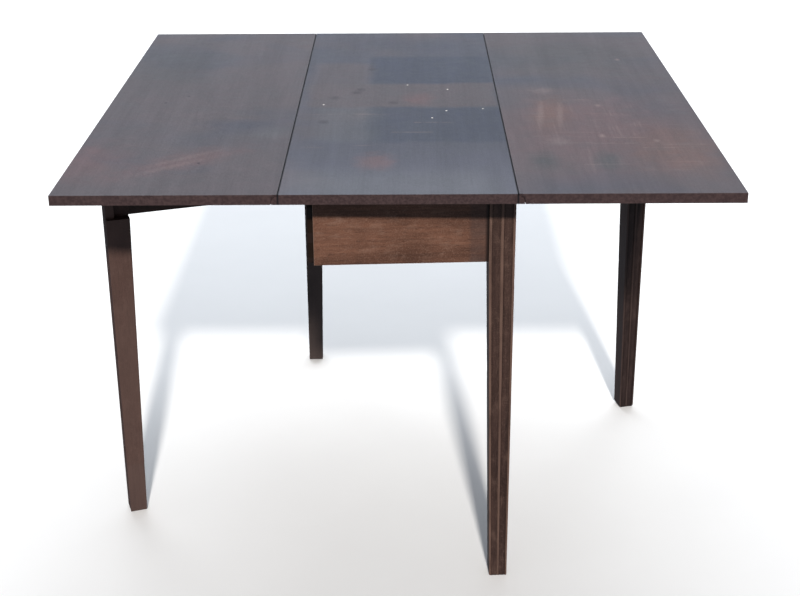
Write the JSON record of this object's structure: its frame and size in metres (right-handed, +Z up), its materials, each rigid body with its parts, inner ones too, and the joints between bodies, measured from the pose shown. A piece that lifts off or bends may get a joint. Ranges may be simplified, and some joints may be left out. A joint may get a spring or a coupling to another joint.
{
  "type": "drop leaf table",
  "caption": "Antique drop leaf table: rule-jointed top with both leaves raised on swing legs that turn on wooden knuckle joints; tapered legs with reeded outer faces.",
  "frame": {"origin": "on the floor, under the centre of the raised top", "axes": "+X across the table from the left leaf to the right leaf, +Y away from the front along the rule joints, +Z up"},
  "size_m": [1.0344, 1.052, 0.72],
  "materials": {
    "top_mahogany": "old dark mahogany under grey, scuffed wax",
    "leg_mahogany": "old dark mahogany, satin, worn arrises",
    "frame_mahogany": "aged mid-brown mahogany, dull satin",
    "secondary_oak": "unpolished, dusty, darkened with age",
    "wrought_iron": "hand-forged, dull, lightly rusted",
    "screw_iron": "old iron, dulled"
  },
  "bodies": {
    "frame": {"back_apron": "frame_mahogany", "back_left_corner_block": "secondary_oak", "back_left_leg": "leg_mahogany", "back_right_corner_block": "secondary_oak", "front_apron": "frame_mahogany", "front_left_corner_block": "secondary_oak", "front_right_corner_block": "secondary_oak", "front_right_leg": "leg_mahogany", "left_back_centre_flap": "wrought_iron", "left_back_hinge_pin": "wrought_iron", "left_centre_flap_screws": "screw_iron", "left_fixed_rail": "frame_mahogany", "left_front_centre_flap": "wrought_iron", "left_front_hinge_pin": "wrought_iron", "left_glue_blocks": "secondary_oak", "left_inner_rail": "secondary_oak", "left_knuckle_pin": "wrought_iron", "left_middle_centre_flap": "wrought_iron", "left_middle_hinge_pin": "wrought_iron", "left_rail_screws": "screw_iron", "right_back_centre_flap": "wrought_iron", "right_back_hinge_pin": "wrought_iron", "right_centre_flap_screws": "screw_iron", "right_fixed_rail": "frame_mahogany", "right_front_centre_flap": "wrought_iron", "right_front_hinge_pin": "wrought_iron", "right_glue_blocks": "secondary_oak", "right_inner_rail": "secondary_oak", "right_knuckle_pin": "wrought_iron", "right_middle_centre_flap": "wrought_iron", "right_middle_hinge_pin": "wrought_iron", "right_rail_screws": "screw_iron", "top_centre_board": "top_mahogany", "top_pocket_screws": "screw_iron"},
    "left_gate": {"left_fly_rail": "frame_mahogany", "left_gate_leg": "leg_mahogany"},
    "right_gate": {"right_fly_rail": "frame_mahogany", "right_gate_leg": "leg_mahogany"},
    "left_leaf": {"left_back_leaf_flap": "wrought_iron", "left_front_leaf_flap": "wrought_iron", "left_leaf_board": "top_mahogany", "left_leaf_flap_screws": "screw_iron", "left_middle_leaf_flap": "wrought_iron"},
    "right_leaf": {"right_back_leaf_flap": "wrought_iron", "right_front_leaf_flap": "wrought_iron", "right_leaf_board": "top_mahogany", "right_leaf_flap_screws": "screw_iron", "right_middle_leaf_flap": "wrought_iron"}
  },
  "joints": [
    {"name": "left_gate_hinge", "type": "hinge", "parent": "frame", "child": "left_gate", "pos_m": [-0.16927, -0.10691, 0.5795], "axis": [0, 0, 1], "range_deg": [-14.1, 73.9]},
    {"name": "right_gate_hinge", "type": "hinge", "parent": "frame", "child": "right_gate", "pos_m": [0.14267, 0.10691, 0.5795], "axis": [0, 0, 1], "range_deg": [-9.7, 78.3]},
    {"name": "left_leaf_hinge", "type": "hinge", "parent": "frame", "child": "left_leaf", "pos_m": [-0.178, 0, 0.707], "axis": [0, 1, 0], "range_deg": [0, 2.5]},
    {"name": "right_leaf_hinge", "type": "hinge", "parent": "frame", "child": "right_leaf", "pos_m": [0.178, 0, 0.707], "axis": [0, -1, 0], "range_deg": [0, 2.5]}
  ]
}
